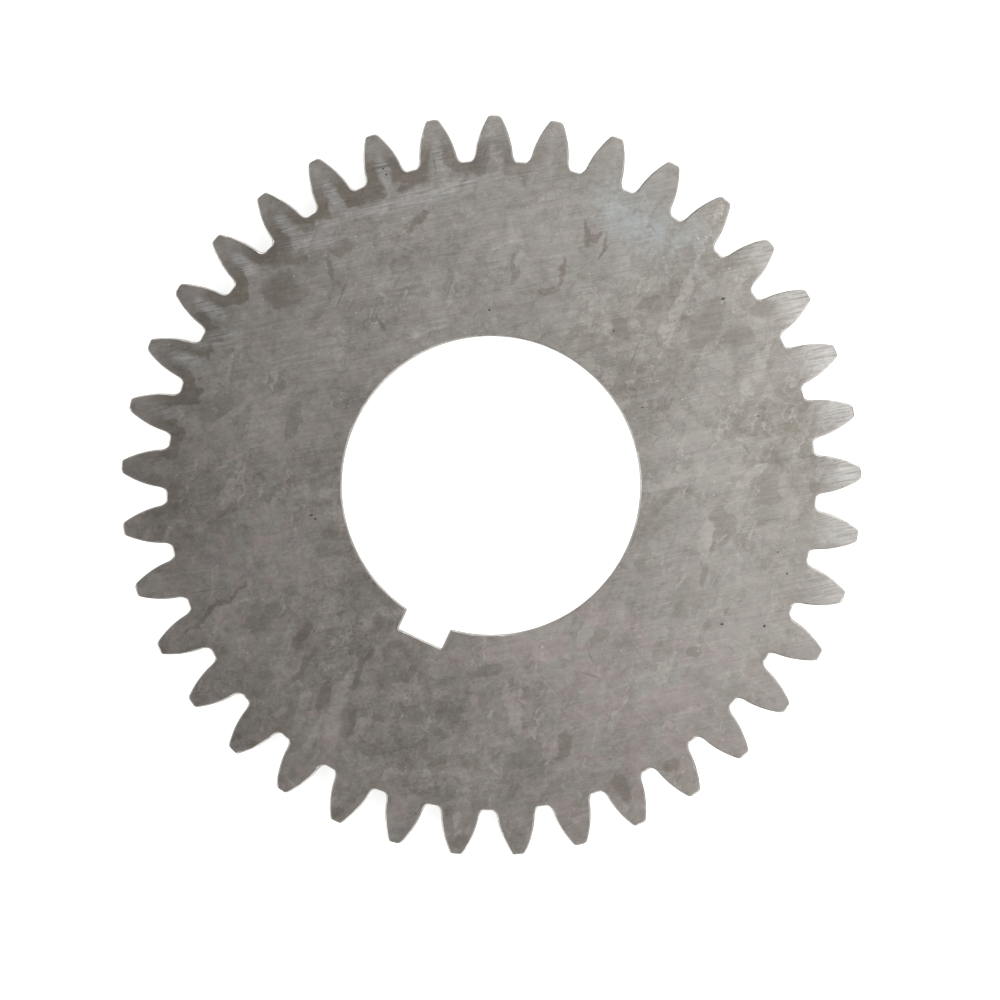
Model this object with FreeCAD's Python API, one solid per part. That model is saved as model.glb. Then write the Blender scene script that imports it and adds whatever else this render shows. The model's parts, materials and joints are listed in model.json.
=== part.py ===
import FreeCAD, Part
import math
import os

# A solid steel spur gear: one flat disc with involute teeth all round, a plain round bore
# through its middle and one rectangular keyway in the bore's wall.
# Millimetres. +Z is the gear's axis. The origin is on that axis, halfway through the face width.
# The keyway and the tooth that it is centred on point along -Y, so a tooth space is centred on +Y.

# Driving dimensions
TOOTH_COUNT = 37
MODULE = 25.4 / 8                    # 8 diametral pitch
PRESSURE_ANGLE = math.radians(20)
ADDENDUM = 1.0 * MODULE
DEDENDUM = 1.39 * MODULE             # deep root, as a pre-grinding hob leaves it
CUTTER_TIP_RADIUS = 0.15 * MODULE    # rounds the root fillets
BACKLASH_ALLOWANCE = 0.1             # each tooth is cut this much thinner, so that a pair runs free
TIP_RELIEF = 0.15                    # taken off each flank at the tip, fading out at the pitch circle
TIP_CORNER_RADIUS = 0.7
FACE_WIDTH = 16.0
BORE_RADIUS = 25.0
KEYWAY_WIDTH = 8.0
KEYWAY_DEPTH = 3.3                   # from the bore circle to the floor, on the keyway's centreline
KEYWAY_CORNER_RADIUS = 0.25
EDGE_BREAK = 0.25                    # deburring chamfer where a wall meets either face

# Sizes that follow from them
PITCH_RADIUS = MODULE * TOOTH_COUNT / 2
BASE_RADIUS = PITCH_RADIUS * math.cos(PRESSURE_ANGLE)
TOOTH_THICKNESS = math.pi * MODULE / 2 - BACKLASH_ALLOWANCE    # along the pitch circle
SPACE_WIDTH = math.pi * MODULE / 2 + BACKLASH_ALLOWANCE        # along the pitch circle
TIP_RADIUS = PITCH_RADIUS + ADDENDUM
ROOT_RADIUS = PITCH_RADIUS - DEDENDUM
HALF_PITCH_ANGLE = math.pi / TOOTH_COUNT
KEYWAY_FLOOR = BORE_RADIUS + KEYWAY_DEPTH
DOWN = -math.pi / 2                  # direction of the keyway and of the first tooth

# How finely each curve is sampled before a smooth spline goes through its points
FLANK_POINTS = 9
FILLET_POINTS = 7


def involute(angle):
    """The involute function of an angle in radians."""
    return math.tan(angle) - angle


def at(radius, angle):
    """A point at a radius and angle about the gear's axis, on the lower face."""
    return FreeCAD.Vector(radius * math.cos(angle), radius * math.sin(angle), -FACE_WIDTH / 2)


def flank_half_angle(radius):
    """Half of the angle that a tooth spans at a radius on its working flank."""
    roll_angle = math.acos(BASE_RADIUS / radius)
    half_angle = TOOTH_THICKNESS / (2 * PITCH_RADIUS) + involute(PRESSURE_ANGLE) - involute(roll_angle)
    above_pitch = max(0.0, (radius - PITCH_RADIUS) / ADDENDUM)
    return half_angle - TIP_RELIEF * above_pitch**2 / radius


def root_fillet():
    """(radius, half angle of the tooth) along the fillet, from the root circle to the flank.

    The hob's rounded tip cuts this curve as it rolls along the pitch circle. lead is how far
    the centre of that rounding is ahead of the point where the pitch circles touch.
    """
    centre_depth = DEDENDUM - CUTTER_TIP_RADIUS
    centre_offset = (
        SPACE_WIDTH / 2
        - centre_depth * math.tan(PRESSURE_ANGLE)
        - CUTTER_TIP_RADIUS / math.cos(PRESSURE_ANGLE)
    )
    longest_lead = centre_depth / math.tan(PRESSURE_ANGLE)
    curve = []
    for step in range(FILLET_POINTS):
        lead = longest_lead * step / (FILLET_POINTS - 1)
        stretch = 1 + CUTTER_TIP_RADIUS / math.hypot(lead, centre_depth)
        across = lead * stretch
        outward = PITCH_RADIUS - centre_depth * stretch
        rolled = (lead - centre_offset) / PITCH_RADIUS
        from_space_centre = math.atan2(across, outward) - rolled
        curve.append((math.hypot(across, outward), HALF_PITCH_ANGLE - from_space_centre))
    return curve


def working_flank(start_radius):
    """(radius, half angle of the tooth) along the involute, from the fillet to the tip circle."""
    curve = []
    for step in range(FLANK_POINTS):
        radius = start_radius + (TIP_RADIUS - start_radius) * step / (FLANK_POINTS - 1)
        curve.append((radius, flank_half_angle(radius)))
    return curve


def spline(points):
    """A smooth edge through points."""
    curve = Part.BSplineCurve()
    curve.interpolate(points)
    return curve.toShape()


def tooth_edges(centre_angle, fillet, flank):
    """One tooth's outline and the root arc after it, counter-clockwise."""
    rising = [
        spline([at(radius, centre_angle - half) for radius, half in curve])
        for curve in (fillet, flank)
    ]
    falling = [
        spline([at(radius, centre_angle + half) for radius, half in reversed(curve)])
        for curve in (flank, fillet)
    ]
    tip_half = flank[-1][1]
    land = Part.Arc(
        at(TIP_RADIUS, centre_angle - tip_half),
        at(TIP_RADIUS, centre_angle),
        at(TIP_RADIUS, centre_angle + tip_half),
    ).toShape()
    root_half = fillet[0][1]
    space_centre = centre_angle + HALF_PITCH_ANGLE
    root = Part.Arc(
        at(ROOT_RADIUS, centre_angle + root_half),
        at(ROOT_RADIUS, space_centre),
        at(ROOT_RADIUS, centre_angle + 2 * HALF_PITCH_ANGLE - root_half),
    ).toShape()
    return rising + [land] + falling + [root]


def vertical_edges(solid, radius):
    """The edges parallel to the axis at a radius from it."""
    found = []
    for edge in solid.Edges:
        start, end = edge.firstVertex().Point, edge.lastVertex().Point
        parallel = math.hypot(start.x - end.x, start.y - end.y) < 1e-6
        if parallel and abs(math.hypot(start.x, start.y) - radius) < 1e-4:
            found.append(edge)
    return found


def toothed_disc():
    """The disc with its teeth, before the bore is cut."""
    fillet = root_fillet()
    flank = working_flank(fillet[-1][0])
    edges = []
    for tooth in range(TOOTH_COUNT):
        edges += tooth_edges(DOWN + 2 * HALF_PITCH_ANGLE * tooth, fillet, flank)
    outline = Part.Wire(edges)
    disc = Part.Face(outline).extrude(FreeCAD.Vector(0, 0, FACE_WIDTH))
    return disc.makeFillet(TIP_CORNER_RADIUS, vertical_edges(disc, TIP_RADIUS))


def bore_and_keyway():
    """The space that the shaft and its key fill."""
    base = FreeCAD.Vector(-KEYWAY_WIDTH / 2, -KEYWAY_FLOOR, -FACE_WIDTH / 2)
    slot = Part.makeBox(KEYWAY_WIDTH, KEYWAY_FLOOR, FACE_WIDTH, base)
    floor_corners = vertical_edges(slot, math.hypot(KEYWAY_WIDTH / 2, KEYWAY_FLOOR))
    slot = slot.makeFillet(KEYWAY_CORNER_RADIUS, floor_corners)
    bore = Part.makeCylinder(BORE_RADIUS, FACE_WIDTH, FreeCAD.Vector(0, 0, -FACE_WIDTH / 2))
    return bore.fuse(slot).removeSplitter()


def break_face_edges(solid):
    """Chamfers every edge that lies in either flat face."""
    rims = [
        edge
        for edge in solid.Edges
        if all(abs(abs(vertex.Z) - FACE_WIDTH / 2) < 1e-6 for vertex in edge.Vertexes)
        and abs(edge.firstVertex().Z - edge.lastVertex().Z) < 1e-6
    ]
    return solid.makeChamfer(EDGE_BREAK, rims)


def gear():
    """The finished gear."""
    blank = toothed_disc().cut(bore_and_keyway())
    return break_face_edges(blank.Solids[0])


os.makedirs("parts", exist_ok=True)
finished = gear()
finished.exportStep("parts/gear.step")
print("solids", len(finished.Solids), "valid", finished.isValid(), "volume_mm3", round(finished.Volume, 1))
print("box_mm", finished.BoundBox)
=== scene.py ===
import json
import math

import bmesh
import bpy
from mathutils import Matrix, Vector, noise


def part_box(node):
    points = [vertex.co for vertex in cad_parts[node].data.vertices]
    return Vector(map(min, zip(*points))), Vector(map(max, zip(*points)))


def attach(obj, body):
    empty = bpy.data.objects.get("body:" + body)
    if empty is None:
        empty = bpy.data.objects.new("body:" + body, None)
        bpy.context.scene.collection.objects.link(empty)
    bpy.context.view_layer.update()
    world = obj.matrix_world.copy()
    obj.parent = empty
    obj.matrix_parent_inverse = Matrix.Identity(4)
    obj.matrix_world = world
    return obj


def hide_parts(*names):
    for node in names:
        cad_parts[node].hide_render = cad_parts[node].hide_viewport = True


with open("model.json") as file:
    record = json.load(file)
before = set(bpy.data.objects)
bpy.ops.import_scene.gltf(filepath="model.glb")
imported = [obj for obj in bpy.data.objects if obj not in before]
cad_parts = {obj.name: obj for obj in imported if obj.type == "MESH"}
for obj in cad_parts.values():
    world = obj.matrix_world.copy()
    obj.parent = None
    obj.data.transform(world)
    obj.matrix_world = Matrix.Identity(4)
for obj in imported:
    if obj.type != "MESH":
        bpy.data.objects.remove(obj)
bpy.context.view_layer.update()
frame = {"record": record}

# ---------------------------------------------------------------------------
# Sizes in millimetres. The outside, the thickness, the bore and the keyway come
# from the frame; the tooth form repeats the ratios that the CAD model is cut to.
# ---------------------------------------------------------------------------

MM = 0.001
LOW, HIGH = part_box("gear")
MOUNTS = {mount["name"]: mount for mount in frame["record"]["mounts"]}

TOOTH_COUNT = 37
TIP_RADIUS = -LOW.y / MM                    # a tooth is centred on -Y
HALF_WIDTH = HIGH.z / MM
MODULE = 2 * TIP_RADIUS / (TOOTH_COUNT + 2)
PITCH_RADIUS = MODULE * TOOTH_COUNT / 2
PRESSURE_ANGLE = math.radians(20)
BASE_RADIUS = PITCH_RADIUS * math.cos(PRESSURE_ANGLE)
DEDENDUM = 1.39 * MODULE
ROOT_RADIUS = PITCH_RADIUS - DEDENDUM
CUTTER_TIP_RADIUS = 0.15 * MODULE
BACKLASH_ALLOWANCE = 0.1
TOOTH_THICKNESS = math.pi * MODULE / 2 - BACKLASH_ALLOWANCE
SPACE_WIDTH = math.pi * MODULE / 2 + BACKLASH_ALLOWANCE
TIP_RELIEF = 0.15
TIP_CORNER_RADIUS = 0.7
TIP_CORNER_WEAR = 0.35                      # the most that wear adds to a tip corner's radius
BORE_RADIUS = MOUNTS["bore"]["dims"]["r_mm"]
KEYWAY_FLOOR = -MOUNTS["keyway_floor"]["pos_m"][1] / MM
KEYWAY_HALF_WIDTH = MOUNTS["keyway_right_side"]["pos_m"][0] / MM
KEYWAY_FLOOR_CORNER = 0.25
KEYWAY_MOUTH_CORNER = 0.35
HALF_PITCH_ANGLE = math.pi / TOOTH_COUNT
DOWN = -math.pi / 2

EDGE_BREAK = 0.22                           # usual radius of a worn edge
DEEPEST_NICK = 0.2                          # extra depth at a dent in an edge
EDGE_STEPS = 4

# The mesh's material slots
UPPER, FLANK, EDGE, BORE, LOWER = range(5)

# The picture: the gear lies flat and is seen from straight above, turned so that
# the keyway is at the lower left.
PICTURE_TURN = math.radians(24.86)
PICTURE_WIDTH = 167.2 * MM                  # across the picture, at the gear's upper face
PICTURE_CENTRE = (1.5 * MM, -2.44 * MM)     # from the gear's axis, to the right and up
CAMERA_HEIGHT = 4.0                         # metres above the gear's upper face
SENSOR_WIDTH = 36.0


# ---------------------------------------------------------------------------
# The gear's mesh
# ---------------------------------------------------------------------------

def polar(radius, angle):
    return Vector((radius * math.cos(angle), radius * math.sin(angle)))


def involute(angle):
    return math.tan(angle) - angle


def flank_half_angle(radius):
    """Half of the angle that a tooth spans at a radius on its working flank."""
    roll_angle = math.acos(BASE_RADIUS / radius)
    half_angle = TOOTH_THICKNESS / (2 * PITCH_RADIUS) + involute(PRESSURE_ANGLE) - involute(roll_angle)
    above_pitch = max(0.0, (radius - PITCH_RADIUS) / MODULE)
    return half_angle - TIP_RELIEF * above_pitch**2 / radius


def root_fillet(steps):
    """(radius, half angle) along the fillet that the hob's rounded tip leaves, root first."""
    centre_depth = DEDENDUM - CUTTER_TIP_RADIUS
    centre_offset = (
        SPACE_WIDTH / 2
        - centre_depth * math.tan(PRESSURE_ANGLE)
        - CUTTER_TIP_RADIUS / math.cos(PRESSURE_ANGLE)
    )
    longest_lead = centre_depth / math.tan(PRESSURE_ANGLE)
    curve = []
    for step in range(steps + 1):
        lead = longest_lead * (step / steps) ** 1.5
        stretch = 1 + CUTTER_TIP_RADIUS / math.hypot(lead, centre_depth)
        across = lead * stretch
        outward = PITCH_RADIUS - centre_depth * stretch
        rolled = (lead - centre_offset) / PITCH_RADIUS
        curve.append((math.hypot(across, outward), HALF_PITCH_ANGLE - math.atan2(across, outward) + rolled))
    return curve


def rounded(before, corner, after, radius, steps):
    """Points of the arc that rounds a corner between two straight runs."""
    arrive = (before - corner).normalized()
    leave = (after - corner).normalized()
    half_opening = arrive.angle(leave) / 2
    centre = corner + (arrive + leave).normalized() * radius / math.sin(half_opening)
    start = corner + arrive * radius / math.tan(half_opening) - centre
    finish = corner + leave * radius / math.tan(half_opening) - centre
    sweep = start.angle_signed(finish)
    return [
        centre + Vector((
            start.x * math.cos(-sweep * step / steps) - start.y * math.sin(-sweep * step / steps),
            start.x * math.sin(-sweep * step / steps) + start.y * math.cos(-sweep * step / steps),
        ))
        for step in range(steps + 1)
    ]


def half_tooth(tip_corner):
    """(radius, half angle) from the middle of a root land up to the middle of a tip land."""
    fillet = root_fillet(10)
    root_half = HALF_PITCH_ANGLE - fillet[0][1]
    root = [(ROOT_RADIUS, HALF_PITCH_ANGLE - root_half * step / 3) for step in range(3)]
    start = fillet[-1][0]
    corner_start = TIP_RADIUS - tip_corner * 0.58       # just below where the rounded corner begins
    flank = [start + (corner_start - start) * step / 16 for step in range(1, 17)]
    flank = [(radius, flank_half_angle(radius)) for radius in flank]
    below = polar(*flank[-2])
    corner = polar(TIP_RADIUS, flank_half_angle(TIP_RADIUS))
    land_middle = Vector((TIP_RADIUS, 0.0))
    arc = rounded(below, corner, land_middle, tip_corner, 5)
    arc = [(point.length, math.atan2(point.y, point.x)) for point in arc]
    land = [(TIP_RADIUS, arc[-1][1] * (1 - step / 4)) for step in range(1, 5)]
    return root + fillet + flank[:-1] + arc + land


def tooth_outline():
    """The outline of all the teeth, counter-clockwise from the first tooth space. No two tips wear alike."""
    points = []
    for tooth in range(TOOTH_COUNT):
        centre = DOWN + 2 * HALF_PITCH_ANGLE * tooth
        wear = [abs(noise.noise(Vector((tooth * 0.7, seed, 0.5)))) for seed in (2.3, 8.9)]
        rising, falling = (half_tooth(TIP_CORNER_RADIUS + TIP_CORNER_WEAR * amount) for amount in wear)
        points += [polar(radius, centre - half) for radius, half in rising]
        points += [polar(radius, centre + half) for radius, half in reversed(falling[1:-1])]
    return points


def bore_outline():
    """The bore and its keyway, clockwise, so that the metal is on the same side as for the teeth."""
    half_mouth = math.asin(KEYWAY_HALF_WIDTH / BORE_RADIUS)
    mouth_y = -BORE_RADIUS * math.cos(half_mouth)
    margin = 2 * KEYWAY_MOUTH_CORNER / BORE_RADIUS
    sweep = 2 * (math.pi - half_mouth - margin)
    arc_steps = 240
    start = DOWN - half_mouth - margin
    points = [polar(BORE_RADIUS, start - sweep * step / arc_steps) for step in range(arc_steps + 1)]
    mouth = Vector((KEYWAY_HALF_WIDTH, mouth_y))
    floor = Vector((KEYWAY_HALF_WIDTH, -KEYWAY_FLOOR))
    middle = Vector((0.0, -KEYWAY_FLOOR))
    right = rounded(points[-1], mouth, floor, KEYWAY_MOUTH_CORNER, 5)
    right += [mouth.lerp(floor, 0.2 + 0.6 * step / 6) for step in range(1, 6)]
    right += rounded(mouth, floor, middle, KEYWAY_FLOOR_CORNER, 5)
    right += [floor.lerp(middle, 0.12 + 0.88 * step / 8) for step in range(1, 8)]
    left = [Vector((-point.x, point.y)) for point in reversed(right)]
    return points + right + [middle] + left


def inward_normals(points):
    """Unit vectors from each outline point into the metal, which lies on the left of the path."""
    normals = []
    for index in range(len(points)):
        along = (points[(index + 1) % len(points)] - points[index - 1]).normalized()
        normals.append(Vector((-along.y, along.x)))
    return normals


def edge_radius(point, seed):
    """How far the worn edge is rounded at a point: wavering, with a few dents."""
    place = Vector((point.x, point.y, seed))
    waver = noise.noise(place * 0.45)
    dents = max(0.0, noise.noise(place * 0.9 + Vector((31.0, 7.0, 0.0))) - 0.42) / 0.3
    return EDGE_BREAK * (1 + 0.35 * waver) + DEEPEST_NICK * min(1.0, dents)


def add_wall(mesh, outline, slot):
    """The wall that stands on an outline, with a rounded edge at each face. Returns both face loops."""
    normals = inward_normals(outline)
    levels = []
    for side, seed in ((-1, 3.0), (1, 11.0)):
        radii = [edge_radius(point, seed) for point in outline]
        for step in range(EDGE_STEPS + 1):
            turn = math.pi / 2 * (step / EDGE_STEPS if side > 0 else 1 - step / EDGE_STEPS)
            row = []
            for point, normal, radius in zip(outline, normals, radii):
                flat = point + normal * radius * (1 - math.cos(turn))
                height = side * (HALF_WIDTH - radius + radius * math.sin(turn))
                row.append(mesh.verts.new((flat.x * MM, flat.y * MM, height * MM)))
            levels.append(row)
    count = len(outline)
    for index, (lower, upper) in enumerate(zip(levels, levels[1:])):
        on_wall = index == EDGE_STEPS
        for at in range(count):
            after = (at + 1) % count
            face = mesh.faces.new((lower[at], lower[after], upper[after], upper[at]))
            face.smooth = True
            face.material_index = slot if on_wall else EDGE
    return levels[0], levels[-1]


def ring(mesh, radius, height, count):
    return [
        mesh.verts.new(tuple(polar(radius * MM, DOWN + 2 * math.pi * step / count)) + (height,))
        for step in range(count)
    ]


def closed_edges(mesh, loop):
    return [
        mesh.edges.get((a, b)) or mesh.edges.new((a, b))
        for a, b in zip(loop, loop[1:] + loop[:1])
    ]


def add_face(mesh, outer, inner, height, up):
    """A flat face between the tooth edge and the bore edge: quads in the middle, triangles at both rims."""
    count = TOOTH_COUNT * 8
    # the quads reach from 6 mm outside the bore to 2 mm inside the tooth roots
    radii = [BORE_RADIUS + 6 + (ROOT_RADIUS - BORE_RADIUS - 8) * step / 5 for step in range(6)]
    rings = [ring(mesh, radius, height * MM, count) for radius in radii]
    faces = []
    for inside, outside in zip(rings, rings[1:]):
        for at in range(count):
            after = (at + 1) % count
            corners = (inside[at], outside[at], outside[after], inside[after])
            faces.append(mesh.faces.new(corners if up else corners[::-1]))
    for loop, rim in ((outer, rings[-1]), (inner, rings[0])):
        edges = closed_edges(mesh, loop) + closed_edges(mesh, rim)
        made = bmesh.ops.triangle_fill(mesh, use_beauty=True, use_dissolve=False, edges=edges)
        faces += [item for item in made["geom"] if isinstance(item, bmesh.types.BMFace)]
    for face in faces:
        face.normal_update()
        if (face.normal.z > 0) != up:
            face.normal_flip()
        face.material_index = UPPER if up else LOWER


def build_gear():
    mesh = bmesh.new()
    outer_low, outer_high = add_wall(mesh, tooth_outline(), FLANK)
    inner_low, inner_high = add_wall(mesh, bore_outline(), BORE)
    add_face(mesh, outer_high, inner_high, HALF_WIDTH, up=True)
    add_face(mesh, outer_low, inner_low, -HALF_WIDTH, up=False)
    for edge in mesh.edges:
        slots = {face.material_index for face in edge.link_faces}
        if len(slots) > 1:
            edge.smooth = False
    data = bpy.data.meshes.new("gear_steel")
    mesh.to_mesh(data)
    mesh.free()
    gear = bpy.data.objects.new("gear_steel", data)
    bpy.context.scene.collection.objects.link(gear)
    return gear


gear = build_gear()
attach(gear, "root")
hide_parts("gear")

# ---------------------------------------------------------------------------
# The steel's finish
# ---------------------------------------------------------------------------

# Directions in degrees, counter-clockwise from the picture's right
LAY_ANGLE = 12          # the face's grinding lines
SMEAR_ANGLE = 62        # smeared oil
WIPE_ANGLE = 70         # streaks wiped through the oil
RUBBED_SIDE = 132       # the teeth that something has rubbed against
RIM_SIDE = 135          # the tooth spaces with the most oil round them
POLISHED_AND_HIGHLIT_TIPS_SIDE = 12          # the teeth whose tips are partly polished and partly painted brighter as a highlight from the key light

HOB_FEED = 1.6          # millimetres between the hob's marks along a tooth
FACE_SHIFT = 40.0       # millimetres up or down from the middle at which each face takes its noise


class Steel:
    """A steel material and short calls for the nodes that paint it. Lengths are in millimetres."""

    def __init__(self, name):
        self.material = bpy.data.materials.new(name)
        self.material.use_nodes = True
        self.nodes = self.material.node_tree.nodes
        self.links = self.material.node_tree.links
        self.shader = self.nodes["Principled BSDF"]
        self.shader.inputs["Metallic"].default_value = 1.0
        self.draws = 0

    def node(self, kind, *values, **settings):
        """A node with its settings and its inputs in order: numbers, vectors or other nodes' outputs."""
        node = self.nodes.new("ShaderNode" + kind)
        for name, value in settings.items():
            setattr(node, name, value)
        for socket, value in zip((each for each in node.inputs if each.enabled), values):
            self.feed(socket, value)
        return node

    def feed(self, socket, value):
        if isinstance(value, bpy.types.NodeSocket):
            self.links.new(value, socket)
        elif socket.type == "RGBA":
            socket.default_value = (*value, 1)
        else:
            socket.default_value = value

    def calc(self, operation, *values):
        return self.node("Math", *values, operation=operation).outputs[0]

    def add(self, first, second):
        return self.calc("ADD", first, second)

    def times(self, first, second):
        return self.calc("MULTIPLY", first, second)

    def mapped(self, value, factor, offset):
        """value times factor, plus offset."""
        return self.calc("MULTIPLY_ADD", value, factor, offset)

    def centred(self, cloud):
        """A noise of 0 to 1, moved to have its middle at 0."""
        return self.add(cloud, -0.5)

    def ramp(self, value, low, high):
        """0 at low and 1 at high, with a smooth start and finish. low may be above high."""
        node = self.node("MapRange", value, interpolation_type="SMOOTHSTEP")
        node.inputs["From Min"].default_value = low
        node.inputs["From Max"].default_value = high
        return node.outputs["Result"]

    def place(self):
        """The gear's own surface in millimetres, turned so that X and Y are right and up in the picture."""
        own = self.node("TexCoord").outputs["Object"]
        turned = self.node("VectorRotate", own, (0, 0, 0), rotation_type="Z_AXIS")
        turned.inputs["Angle"].default_value = -PICTURE_TURN
        return self.node("VectorMath", turned.outputs[0], (1 / MM,) * 3, operation="MULTIPLY").outputs[0]

    def turned(self, place, degrees, stretch=(1, 1, 1)):
        """place seen along a direction, and divided by stretch so that marks grow that much longer."""
        node = self.node("VectorRotate", place, (0, 0, 0), rotation_type="Z_AXIS")
        node.inputs["Angle"].default_value = -math.radians(degrees)
        return self.node("VectorMath", node.outputs[0], stretch, operation="DIVIDE").outputs[0]

    def noise(self, place, size, detail=2.0, roughness=0.5, colour=False):
        """Clouds of about a size. Each call is cut from a different part of the same endless noise."""
        self.draws += 1
        shifted = self.node("VectorMath", place, (0, 0, 0), operation="ADD")
        shifted.inputs[1].default_value = (17.3 * self.draws, -9.1 * self.draws, 5.7 * self.draws)
        node = self.node("TexNoise", shifted.outputs[0], noise_dimensions="3D")
        node.inputs["Scale"].default_value = 1 / size
        node.inputs["Detail"].default_value = detail
        node.inputs["Roughness"].default_value = roughness
        return node.outputs["Color" if colour else "Fac"]

    def warped(self, place, size, amount):
        """place pushed about by clouds of a size, by up to about an amount."""
        push = self.noise(place, size, detail=3, roughness=0.6, colour=True)
        centred = self.node("VectorMath", push, (0.5, 0.5, 0.5), operation="SUBTRACT").outputs[0]
        scaled = self.node("VectorMath", centred, (2 * amount,) * 3, operation="MULTIPLY").outputs[0]
        return self.node("VectorMath", place, scaled, operation="ADD").outputs[0]

    def lines(self, place, degrees, length, width, least):
        """Fine, long marks along a direction: 1 on a mark and 0 elsewhere. A higher least leaves fewer."""
        grain = self.noise(self.turned(place, degrees, (length, width, 1)), 1.0, detail=1)
        return self.ramp(grain, least, least + 0.05)

    def patch(self, place, right, up, length, width, degrees=0.0, edge=0.3):
        """1 inside an ellipse whose border place's own warping makes uneven, and 0 outside it."""
        shifted = self.node("VectorMath", place, (right, up, 0), operation="SUBTRACT").outputs[0]
        flat = self.node("VectorMath", shifted, (1, 1, 0), operation="MULTIPLY").outputs[0]
        scaled = self.turned(flat, degrees, (length / 2, width / 2, 1))
        reach = self.node("VectorMath", scaled, operation="LENGTH").outputs["Value"]
        return self.ramp(reach, 1 + edge, 1 - edge)

    def patches(self, place, marks, edge):
        return [self.patch(place, *mark, edge=edge) for mark in marks]

    def with_marks(self, mask, place, marks, edge, strength):
        """mask, or the marks at a strength where that is more."""
        return self.any_of([mask, self.times(self.any_of(self.patches(place, marks, edge)), strength)])

    def specks(self, place, spacing, size, least):
        """Round dots, scattered: of the cells of a spacing, only those that draw over least have one."""
        self.draws += 1
        shifted = self.node("VectorMath", place, (0, 0, 0), operation="ADD")
        shifted.inputs[1].default_value = (3.1 * self.draws, 7.7 * self.draws, 0)
        cells = self.node("TexVoronoi", shifted.outputs[0], voronoi_dimensions="2D")
        cells.inputs["Scale"].default_value = 1 / spacing
        draw = self.node("SeparateColor", cells.outputs["Color"]).outputs[0]
        dot = self.ramp(self.times(cells.outputs["Distance"], spacing), size * 1.3, size * 0.7)
        return self.times(dot, self.ramp(draw, least, least + 0.01))

    def tooth_place(self, place):
        """Radius from the axis, depth inside the toothed outline, and the distance from a tooth's middle."""
        parts = self.node("SeparateXYZ", place)
        flat = self.node("VectorMath", place, (1, 1, 0), operation="MULTIPLY").outputs[0]
        radius = self.node("VectorMath", flat, operation="LENGTH").outputs["Value"]
        angle = self.calc("ARCTAN2", parts.outputs["Y"], parts.outputs["X"])
        teeth = self.times(self.add(angle, PICTURE_TURN - DOWN), 1 / (2 * HALF_PITCH_ANGLE))
        off_centre = self.times(self.calc("PINGPONG", teeth, 0.5), 2 * HALF_PITCH_ANGLE)
        around = self.times(off_centre, radius)
        taper = 0.33            # each side of a tooth leans in by this much for a millimetre outwards
        root_half = 3.3         # half of a tooth's thickness 55 mm from the axis
        half_thickness = self.mapped(radius, -taper, root_half + taper * 55)
        below_root = self.calc("SUBTRACT", ROOT_RADIUS, radius)
        depth = self.calc("MAXIMUM", below_root, self.calc("SUBTRACT", half_thickness, around))
        return radius, depth, around

    def facing(self, place, degrees, half_angle):
        """1 in a direction from the axis, falling to 0 at half_angle to either side."""
        flat = self.node("VectorMath", place, (1, 1, 0), operation="MULTIPLY").outputs[0]
        unit = self.node("VectorMath", flat, operation="NORMALIZE").outputs[0]
        towards = (math.cos(math.radians(degrees)), math.sin(math.radians(degrees)), 0)
        cosine = self.node("VectorMath", unit, towards, operation="DOT_PRODUCT").outputs["Value"]
        return self.ramp(cosine, math.cos(math.radians(half_angle)), math.cos(math.radians(half_angle / 3)))

    def any_of(self, masks):
        total = masks[0]
        for mask in masks[1:]:
            total = self.calc("MAXIMUM", total, mask)
        return total

    def tint(self, colour, mask, towards):
        """colour changed to another one where mask is 1."""
        node = self.node("Mix", data_type="RGBA", blend_type="MIX")
        factor, first, second = node.inputs[0], node.inputs[6], node.inputs[7]
        self.feed(factor, mask)
        self.feed(first, colour)
        self.feed(second, towards)
        return node.outputs[2]

    def finish(self, colour, shade, roughness, height, depth):
        """Colour times shade, roughness, and a bump of a depth in millimetres from a height of 0 to 1."""
        node = self.node("VectorMath", colour, operation="SCALE")
        self.feed(node.inputs["Scale"], shade)
        self.links.new(node.outputs[0], self.shader.inputs["Base Color"])
        self.feed(self.shader.inputs["Roughness"], roughness)
        bump = self.node("Bump")
        bump.inputs["Strength"].default_value = 1.0
        bump.inputs["Distance"].default_value = depth * MM
        self.feed(bump.inputs["Height"], height)
        self.links.new(bump.outputs["Normal"], self.shader.inputs["Normal"])
        return self.material


BARE = (0.388, 0.372, 0.341)            # ground steel
WARM = (0.415, 0.364, 0.345)            # the same with a pink cast
POLISH_AND_HIGHLIGHT = (0.560, 0.552, 0.540)          # polished by whatever slid over it; on the tips at the right it is also a painted highlight
DULL = (0.310, 0.291, 0.258)            # thin dried oil, a little green
BROWN = (0.245, 0.215, 0.183)           # thick dried oil and the first rust
PAINTED_BLUE_SHEEN = (0.385, 0.400, 0.395)           # a painted cool sheen: a lighter, bluish reflection painted into the colour
BRIGHT = (0.800, 0.790, 0.770)          # flecks
BLACK = (0.030, 0.027, 0.025)           # pits

# Marks on the face in view, listed one by one: how far right and up of the gear's axis each one
# is, its length and width, and the degrees that its length rises to the right.
WIPED_STREAKS = (
    (31.5, 30.5, 14, 2.4, 62), (36.0, -9.5, 8, 2.6, 84), (29.5, 0.5, 9, 1.8, 22),
    (42.3, 16.4, 2.2, 2.0, 0), (-25.6, -38.0, 15, 2.6, 76), (-39.6, 12.8, 11, 1.6, -54),
    (-14.6, -34.2, 6, 3.4, 20), (3.5, -37.0, 9, 2.2, -72), (-44.0, 11.5, 8, 1.4, 32),
    (44.0, 2.0, 7, 2.0, 30), (-30.0, -41.5, 6, 1.6, 60), (16.0, -24.0, 6, 2.0, 66),
)
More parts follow.
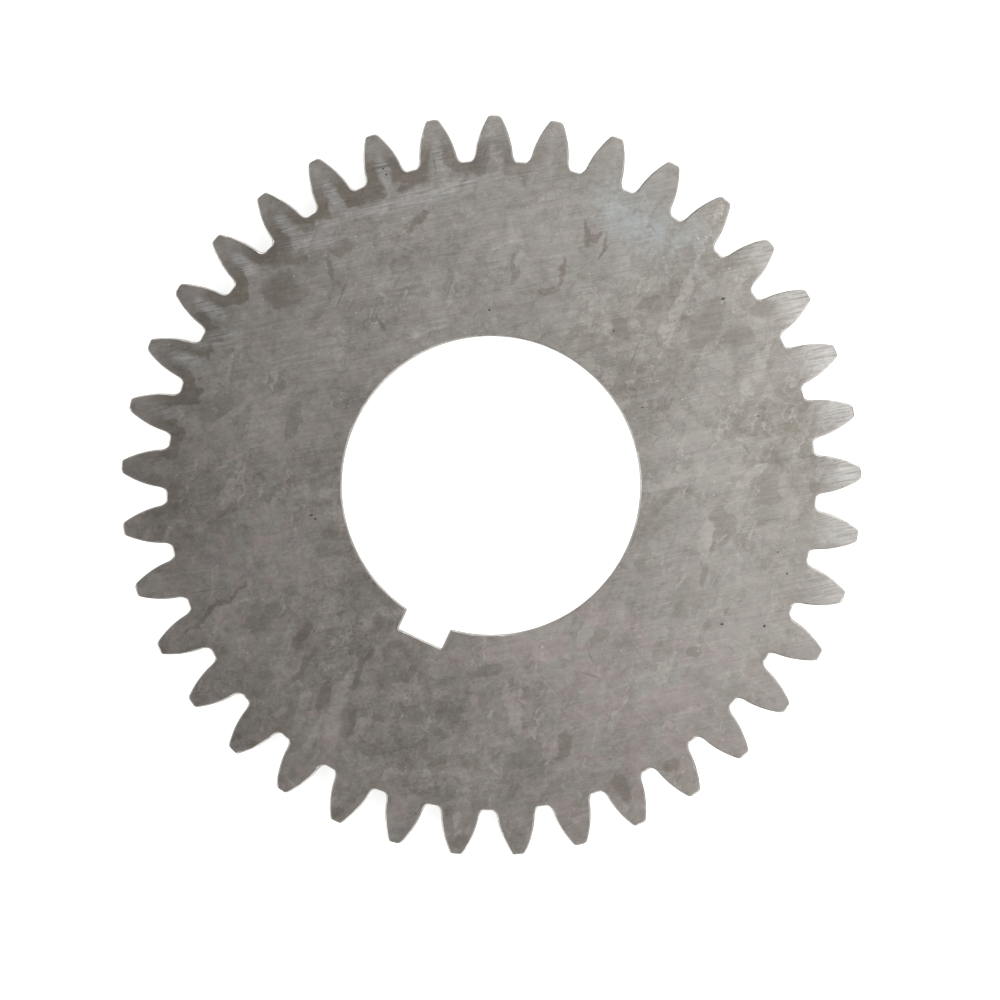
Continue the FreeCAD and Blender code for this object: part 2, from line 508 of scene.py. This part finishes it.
# where the painted sheen lies: a lighter, bluish reflection painted into the colour
PAINTED_SHEEN_PATCH = (26.0, 44.0, 23, 11, -35)
RUBBED_STREAKS = (
    (-15.5, 47.2, 27, 2.2, 15), (-29.5, 41.0, 9, 3.0, 12), (-46.5, 24.5, 9, 2.2, 14),
    (-10.5, 26.0, 5, 0.9, 18), (-4.0, 50.5, 12, 1.4, 10),
)
DULL_PATCHES = (
    (30.6, 30.0, 11, 2.6, 82), (36.1, 27.0, 10, 4.2, 60), (41.2, 25.2, 5.5, 3.2, 5),
    (46.0, 29.5, 5.5, 3.2, 8), (27.8, 17.3, 6.5, 2.0, 42), (16.6, 22.7, 4, 2.0, 12),
    (24.2, 18.9, 3.4, 1.4, 10), (38.5, -6.5, 4, 7.0, 10), (35.6, -14.5, 5, 1.4, 84),
    (17.9, -25.3, 4, 2.2, 0), (33.8, -27.4, 2.4, 2.0, 0), (-46.3, 12.8, 6, 4.2, 20),
    (-36.1, 17.4, 3.8, 3.6, 0), (-33.1, 10.8, 6, 2.6, 70), (-35.5, -20.7, 4.6, 3.4, 30),
    (-39.5, -22.8, 5, 2.6, 0), (-38.5, -32.6, 7, 2.2, 80), (-11.9, -28.9, 4.6, 1.8, 66),
    (6.0, -45.0, 6, 4.0, 60), (-1.0, -31.0, 6, 2.6, 12), (46.5, -1.0, 4, 6.0, 0),
    (-21.0, 6.0, 5, 2.0, 60), (-7.2, 33.7, 6.5, 1.4, 88), (4.0, 36.5, 6, 1.6, 80),
)
BROWN_PATCHES = (
    (-34.6, 32.5, 7.0, 6.0, 30), (-34.1, 37.8, 7.5, 2.4, 4), (-20.9, 47.9, 5.5, 2.6, 14),
    (-25.3, 40.0, 4.6, 3.0, 0), (-27.0, 36.2, 4.2, 0.9, 98), (-12.5, 44.2, 5.5, 1.4, 45),
    (26.6, 30.7, 5.5, 1.6, 32), (21.4, 26.3, 6, 2.4, -62), (15.7, 42.2, 1.2, 4.5, 8),
    (17.0, 41.6, 4.0, 0.9, 10), (18.6, 39.7, 5.0, 0.9, 62), (11.5, 35.5, 5.5, 1.0, 84),
    (9.5, 32.5, 3.4, 1.6, 10), (-31.8, -25.0, 5, 2.6, 58), (-31.6, -30.2, 8, 1.4, 58),
    (-27.8, -35.1, 7, 1.8, 70), (-21.9, -31.0, 9, 1.2, 62), (-24.0, -39.2, 5.5, 3.0, 80),
    (-46.4, -20.8, 15, 0.9, 38), (30.1, -46.8, 3.2, 2.6, 0), (21.7, -51.0, 6.5, 2.8, -62),
    (-5.4, -59.6, 3.6, 2.4, 0), (-25.4, -54.9, 3.0, 1.6, 0), (12.0, -43.5, 5, 2.0, 80),
)
DARK_SCRATCHES = (
    (16.7, -28.8, 2.0, 0.32, -65), (16.9, -31.8, 2.9, 0.36, -17), (-9.4, 53.6, 3.0, 0.42, 100),
    (-25.1, 31.6, 5.0, 0.36, 68), (-18.4, 27.0, 3.2, 0.6, -58), (24.0, 22.0, 5.0, 0.26, 70),
)
LIGHT_SCRATCHES = (
    (1.0, -48.0, 5.0, 0.30, -52), (1.5, 40.0, 7.0, 0.26, 24), (-8.5, 27.5, 3.5, 0.30, 8),
    (-22.0, 45.0, 16, 0.34, 15), (-12.0, 48.6, 18, 0.30, 15), (-18.0, 47.0, 20, 0.26, 14),
    (-24.3, -45.5, 2.6, 0.30, -60), (-46.5, 23.4, 9, 0.30, 12), (-50.5, 21.4, 5, 0.36, 4),
    (-43.0, 4.5, 9, 0.30, 33), (32.0, -38.0, 6, 0.26, 12), (5.5, 52.0, 7, 0.28, 10),
)
PITS = (
    (38.8, 31.2, 0.65, 0.42, 20), (25.3, 13.0, 0.34, 0.28, 0), (38.6, -23.2, 0.6, 0.3, 0),
    (45.7, -23.5, 0.5, 0.4, 60), (49.5, -14.8, 0.34, 0.28, 0), (-0.3, 29.3, 0.34, 0.34, 0),
    (-30.1, -5.0, 0.6, 0.25, 20), (-29.4, -5.6, 0.5, 0.25, -15), (-34.2, 52.2, 1.4, 0.4, 15),
    (-17.5, 52.0, 0.34, 0.3, 0), (44.7, 11.6, 0.34, 0.28, 0),
)


def oil_coverage(steel, place):
    """More or less dried oil than usual: more at the bottom, less at the top and the lower right."""
    coverage = steel.times(steel.centred(steel.noise(place, 24.0, detail=1)), 0.30)
    for degrees, half_angle, more in ((262, 62, 0.03), (112, 75, -0.05), (-40, 40, -0.06)):
        coverage = steel.add(coverage, steel.times(steel.facing(place, degrees, half_angle), more))
    return coverage


def dried_oil(steel, ragged, coverage, cover):
    """Films with crisp borders, brown spots where most oil has settled, and streaks wiped clean."""
    thin = steel.ramp(steel.add(cover, coverage), 0.520, 0.535)
    drag = steel.noise(steel.turned(ragged, SMEAR_ANGLE, (9.0, 1.9, 1)), 1.0, detail=3, roughness=0.6)
    smeared = steel.ramp(steel.add(drag, coverage), 0.545, 0.560)
    settled = steel.ramp(steel.noise(ragged, 2.4, detail=3, roughness=0.7), 0.535, 0.550)
    settled = steel.times(settled, steel.ramp(coverage, -0.02, 0.05))
    wipe = steel.noise(steel.turned(ragged, WIPE_ANGLE, (10.0, 2.6, 1)), 1.0, detail=3, roughness=0.6)
    films = steel.mapped(thin, 0.40, steel.times(smeared, 0.45))
    return films, steel.times(settled, 0.55), steel.ramp(wipe, 0.60, 0.63)


def dark_rims(steel, place, radius, depth, coverage, cover):
    """Thick oil round the tooth spaces, reaching unevenly into the metal, most at the upper left."""
    reach = steel.mapped(steel.mapped(coverage, 0.5, cover), 9.0, depth)
    rim = steel.times(steel.ramp(reach, 7.2, 6.3), steel.ramp(radius, 60, 55))
    return steel.times(rim, steel.mapped(steel.facing(place, RIM_SIDE, 65), 0.85, 0.2))


def rubbed_roots(steel, place, radius, around, streak):
    """A bright oval at the root of each tooth on the rubbed side, broken up by the streaks."""
    half_length = 3.2
    half_width = 1.15
    along = steel.times(steel.add(radius, -55.5), 1 / half_length)
    across = steel.times(around, 1 / half_width)
    oval = steel.node("CombineXYZ", along, across, 0.0).outputs[0]
    reach = steel.node("VectorMath", oval, operation="LENGTH").outputs["Value"]
    rub = steel.ramp(steel.mapped(streak, 0.8, reach), 1.7, 0.8)
    return steel.times(rub, steel.facing(place, RUBBED_SIDE, 45))


def bare_colour(steel, place, oily):
    """Steel with a pink cast: weakest at the upper right and upper left, strongest at the lower left."""
    cool = steel.times(steel.facing(place, RUBBED_SIDE, 60), -0.35)
    cool = steel.mapped(steel.facing(place, 28, 85), -0.65, cool)
    cast = steel.ramp(steel.noise(place, 3.0, detail=6, roughness=0.8), 0.42, 0.56)
    cast = steel.times(cast, steel.mapped(oily, 0.5, steel.add(cool, 1.0)))
    return steel.tint(BARE, cast, WARM)


def ground_shade(steel, place, oily, mottle, hair, streak):
    """Lighter and darker in clouds and along the lay, more evenly towards the right."""
    calm = steel.facing(place, 0, 110)
    shade = steel.mapped(steel.centred(mottle), steel.mapped(calm, -0.5, 1.5), 0.92)
    lay = steel.mapped(oily, -0.24, steel.mapped(calm, -0.12, 0.56))
    shade = steel.times(shade, steel.mapped(steel.centred(hair), lay, 1.01))
    return steel.times(shade, steel.mapped(streak, 0.26, 0.87))


def scratched(steel, place, shade, marked):
    """shade with light and dark scratches in a few directions."""
    light = [steel.lines(place, degrees, 14.0, 0.30, 0.72) for degrees in (17, 33, -48)]
    dark = [steel.lines(place, degrees, 8.0, 0.30, 0.735) for degrees in (64, 8, -25)]
    if marked:
        light += steel.patches(place, LIGHT_SCRATCHES, 0.5)
        dark += steel.patches(place, DARK_SCRATCHES, 0.4)
    shade = steel.times(shade, steel.mapped(steel.any_of(light), 0.14, 1.0))
    return steel.times(shade, steel.mapped(steel.any_of(dark), -0.22, 1.0))


def face_layers(steel, place, uneven, ragged, streak, marked):
    """Where a face has films of oil, brown oil, wiped streaks, metal that has been rubbed bright, and tips on
    the right that are partly polished and partly a painted highlight.
    """
    radius, depth, around = steel.tooth_place(place)
    coverage = oil_coverage(steel, place)
    cover = steel.noise(ragged, 4.2, detail=3, roughness=0.6)
    films, brown, wiped = dried_oil(steel, ragged, coverage, cover)
    rim = dark_rims(steel, place, radius, depth, coverage, cover)
    rub = rubbed_roots(steel, place, radius, around, streak)
    # the tips on the right are painted brighter: partly polish, partly a painted highlight where the key
    # light falls
    tips = steel.times(steel.ramp(radius, 54, 60), steel.facing(place, POLISHED_AND_HIGHLIT_TIPS_SIDE, 42))
    if marked:
        brown = steel.with_marks(brown, ragged, BROWN_PATCHES, 0.25, 0.8)
        films = steel.with_marks(films, ragged, DULL_PATCHES, 0.12, 0.85)
        wiped = steel.with_marks(wiped, ragged, WIPED_STREAKS, 0.12, 1.0)
        rub = steel.with_marks(rub, uneven, RUBBED_STREAKS, 0.8, 0.6)
    brown = steel.any_of([brown, rim])
    rub = steel.any_of([rub, steel.times(tips, 0.8)])
    films = steel.times(films, steel.calc("SUBTRACT", 1.0, wiped))
    return films, brown, wiped, rub


def face_steel(name, side, marked):
    """A ground flat face. side keeps the two faces different, and marked adds the marks listed above."""
    steel = Steel(name)
    flat = steel.node("VectorMath", steel.place(), (1, 1, 0), operation="MULTIPLY").outputs[0]
    place = steel.node("VectorMath", flat, (0, 0, FACE_SHIFT * side), operation="ADD").outputs[0]
    uneven = steel.warped(place, 4.0, 1.9)
    ragged = steel.warped(uneven, 1.1, 0.5)

    # the grinding lay, and unevenness of every size from a hair to a thumb
    hair = steel.noise(steel.turned(place, LAY_ANGLE, (5.0, 0.26, 1)), 1.0, detail=3, roughness=0.7)
    streak = steel.noise(steel.turned(place, LAY_ANGLE - 2, (22.0, 0.9, 1)), 1.0, detail=2, roughness=0.6)
    mottle = steel.noise(place, 13.0, detail=7, roughness=0.93)

    # colour, and how light or dark it is
    films, brown, wiped, rub = face_layers(steel, place, uneven, ragged, streak, marked)
    oily = steel.facing(place, 240, 95)
    colour = bare_colour(steel, place, oily)
    if marked:
        # a painted sheen: a lighter, bluish reflection at the upper right, broken up by the clouds
        painted_sheen = steel.times(steel.patch(uneven, *PAINTED_SHEEN_PATCH, edge=0.7), steel.ramp(mottle, 0.40, 0.60))
        colour = steel.tint(colour, painted_sheen, PAINTED_BLUE_SHEEN)
    colour = steel.tint(colour, films, DULL)
    colour = steel.tint(colour, steel.times(brown, 0.85), BROWN)
    # rubbed metal, and the painted highlight on the tips at the right
    colour = steel.tint(colour, steel.times(rub, steel.ramp(hair, 0.30, 0.62)), POLISH_AND_HIGHLIGHT)
    shade = ground_shade(steel, place, oily, mottle, hair, streak)
    shade = steel.times(shade, steel.mapped(wiped, 0.11, 1.0))
    shade = scratched(steel, place, shade, marked)

    # bright flecks and dark pits
    flecks = steel.specks(steel.warped(place, 0.7, 0.35), 2.6, 0.13, 0.94)
    pits = steel.specks(place, 5.5, 0.14, 0.98)
    if marked:
        pits = steel.with_marks(pits, place, PITS, 0.4, 1.0)
    colour = steel.tint(colour, steel.times(flecks, 0.45), BRIGHT)
    colour = steel.tint(colour, steel.times(pits, 0.85), BLACK)

    roughness = steel.mapped(rub, -0.03, 0.35)
    height = steel.mapped(hair, 0.5, steel.times(streak, 0.3))
    height = steel.calc("SUBTRACT", height, pits)
    return steel.finish(colour, shade, roughness, height, 0.0008)


def flank_steel(name):
    """Hobbed tooth walls: feed marks across them, polished where the mating teeth roll, oily at the root."""
    steel = Steel(name)
    place = steel.place()
    height = steel.node("SeparateXYZ", place).outputs["Z"]
    radius = steel.tooth_place(place)[0]
    feed = steel.add(height, steel.noise(place, 9.0))
    feed = steel.calc("SINE", steel.times(feed, 2 * math.pi / HOB_FEED))
    line = steel.noise(steel.turned(place, 0, (4.0, 4.0, 0.22)), 1.0, detail=3, roughness=0.7)
    mottle = steel.noise(place, 5.0, detail=6, roughness=0.8)
    stain = steel.noise(steel.warped(place, 1.5, 0.8), 3.0, detail=4, roughness=0.65)
    from_middle = steel.calc("ABSOLUTE", steel.mapped(steel.centred(mottle), 4.0, height))
    polish = steel.times(steel.ramp(radius, 55.8, 57.5), steel.ramp(from_middle, 7.6, 6.2))
    root_oil = steel.ramp(steel.mapped(stain, 3.0, radius), 57.2, 55.4)
    oil = steel.any_of([root_oil, steel.ramp(stain, 0.57, 0.62)])
    colour = steel.tint(BARE, steel.times(oil, 0.8), BROWN)
    colour = steel.tint(colour, steel.times(polish, 0.6), POLISH_AND_HIGHLIGHT)
    # the walls are painted darker than the faces overall: painted shade that holds down the light they catch
    # from the glowing floor
    shade = steel.mapped(steel.centred(mottle), 0.9, 0.62)
    shade = steel.times(shade, steel.mapped(line, 0.7, 0.65))
    roughness = steel.mapped(polish, -0.10, steel.mapped(oil, 0.10, 0.40))
    relief = steel.mapped(feed, 0.35, steel.times(line, 0.5))
    return steel.finish(colour, shade, roughness, relief, 0.012)


def bore_steel(name):
    """The bored hole and its keyway: fine turning lines, a few drag marks along the axis, oil stains."""
    steel = Steel(name)
    place = steel.place()
    turning = steel.noise(steel.turned(place, 0, (7.0, 7.0, 0.16)), 1.0, detail=3, roughness=0.7)
    drags = steel.noise(steel.turned(place, 0, (0.5, 0.5, 14.0)), 1.0, detail=2)
    drags = steel.ramp(drags, 0.66, 0.72)
    mottle = steel.noise(place, 6.0, detail=6, roughness=0.8)
    stain = steel.noise(steel.warped(place, 1.8, 0.9), 4.0, detail=4, roughness=0.65)
    stain = steel.ramp(stain, 0.55, 0.60)
    colour = steel.tint(BARE, steel.times(stain, 0.7), DULL)
    colour = steel.tint(colour, steel.times(drags, 0.5), POLISH_AND_HIGHLIGHT)
    # the bore is painted darker than the faces overall: painted shade that holds down the light it catches
    # from the glowing floor
    shade = steel.mapped(steel.centred(mottle), 0.9, 0.68)
    shade = steel.times(shade, steel.mapped(turning, 0.7, 0.65))
    roughness = steel.mapped(stain, 0.08, 0.33)
    relief = steel.mapped(drags, -0.6, turning)
    return steel.finish(colour, shade, roughness, relief, 0.008)


def edge_steel(name):
    """Deburred edges: brighter where handling has polished them, darker where dirt has stayed."""
    steel = Steel(name)
    place = steel.place()
    mottle = steel.noise(place, 3.0, detail=6, roughness=0.8)
    wear = steel.ramp(steel.noise(place, 5.0, detail=3, roughness=0.6), 0.40, 0.60)
    dirt = steel.ramp(steel.noise(place, 1.6, detail=3, roughness=0.6), 0.58, 0.66)
    colour = steel.tint(BARE, steel.times(wear, 0.4), POLISH_AND_HIGHLIGHT)
    colour = steel.tint(colour, steel.times(dirt, 0.7), BROWN)
    shade = steel.mapped(steel.centred(mottle), 1.2, 0.95)
    roughness = steel.mapped(wear, -0.08, 0.42)
    return steel.finish(colour, shade, roughness, mottle, 0.01)


finishes = {
    UPPER: face_steel("steel_upper_face", 1, True),
    FLANK: flank_steel("steel_tooth_flanks"),
    EDGE: edge_steel("steel_edges"),
    BORE: bore_steel("steel_bore"),
    LOWER: face_steel("steel_lower_face", -1, False),
}
for slot in sorted(finishes):
    gear.data.materials.append(finishes[slot])


def add_floor():
    half = 3.0
    level = LOW.z - 0.02 * MM               # just clear of the gear's lower face
    corners = [(-half, -half, level), (half, -half, level), (half, half, level), (-half, half, level)]
    data = bpy.data.meshes.new("floor")
    data.from_pydata(corners, [], [(0, 1, 2, 3)])
    floor = bpy.data.objects.new("floor", data)
    bpy.context.scene.collection.objects.link(floor)
    material = bpy.data.materials.new("floor_white")
    material.use_nodes = True
    shader = material.node_tree.nodes["Principled BSDF"]
    shader.inputs["Base Color"].default_value = (0.85, 0.85, 0.85, 1)
    shader.inputs["Roughness"].default_value = 0.9
    shader.inputs["Emission Color"].default_value = (1, 1, 1, 1)
    shader.inputs["Emission Strength"].default_value = 0.8
    data.materials.append(material)


def seen_from_above(right, up, height):
    """A place given to the right and up in the picture, and above the gear's middle, in metres."""
    cos, sin = math.cos(PICTURE_TURN), math.sin(PICTURE_TURN)
    return Vector((right * cos - up * sin, right * sin + up * cos, height))


def add_camera():
    data = bpy.data.cameras.new("camera")
    data.sensor_width = SENSOR_WIDTH
    data.lens = SENSOR_WIDTH * CAMERA_HEIGHT / PICTURE_WIDTH
    data.clip_end = 20
    camera = bpy.data.objects.new("camera", data)
    camera.location = seen_from_above(*PICTURE_CENTRE, HIGH.z + CAMERA_HEIGHT)
    camera.rotation_euler = (0, 0, PICTURE_TURN)
    bpy.context.scene.collection.objects.link(camera)
    bpy.context.scene.camera = camera


def add_softbox(name, right, up, height, size, power):
    """A square area light that faces the gear."""
    data = bpy.data.lights.new(name, "AREA")
    data.shape = "SQUARE"
    data.size = size
    data.energy = power
    lamp = bpy.data.objects.new(name, data)
    lamp.location = seen_from_above(right, up, height)
    lamp.rotation_euler = lamp.location.to_track_quat("Z", "Y").to_euler()
    lamp.visible_camera = False
    bpy.context.scene.collection.objects.link(lamp)


def add_fill(name, azimuth, tilt, strength):
    """A broad, distant light, azimuth degrees round from the picture's right and tilt from straight above."""
    data = bpy.data.lights.new(name, "SUN")
    data.angle = math.radians(50)
    data.energy = strength
    lamp = bpy.data.objects.new(name, data)
    flat = math.sin(math.radians(tilt))
    azimuth = math.radians(azimuth)
    source = seen_from_above(flat * math.cos(azimuth), flat * math.sin(azimuth), math.cos(math.radians(tilt)))
    lamp.rotation_euler = source.to_track_quat("Z", "Y").to_euler()
    bpy.context.scene.collection.objects.link(lamp)


def add_world(overhead, horizon):
    world = bpy.data.worlds.new("studio")
    world.use_nodes = True
    nodes, links = world.node_tree.nodes, world.node_tree.links
    direction = nodes.new("ShaderNodeTexCoord")
    parts = nodes.new("ShaderNodeSeparateXYZ")
    height = nodes.new("ShaderNodeMapRange")
    height.interpolation_type = "SMOOTHSTEP"
    height.inputs["From Min"].default_value = 0.3
    height.inputs["From Max"].default_value = 0.85
    height.inputs["To Min"].default_value = horizon
    height.inputs["To Max"].default_value = overhead
    links.new(direction.outputs["Generated"], parts.inputs["Vector"])
    links.new(parts.outputs["Z"], height.inputs["Value"])
    links.new(height.outputs["Result"], nodes["Background"].inputs["Strength"])
    nodes["Background"].inputs["Color"].default_value = (1, 1, 1, 1)
    bpy.context.scene.world = world


add_floor()
add_camera()
add_world(overhead=0.10, horizon=0.5)
add_softbox("key", right=0.16, up=0.04, height=0.36, size=0.30, power=0.465)
for turn in (70, 190, 310):
    add_fill(f"fill_{turn}", azimuth=turn, tilt=52, strength=1.37)
bpy.context.scene.view_settings.view_transform = "Standard"
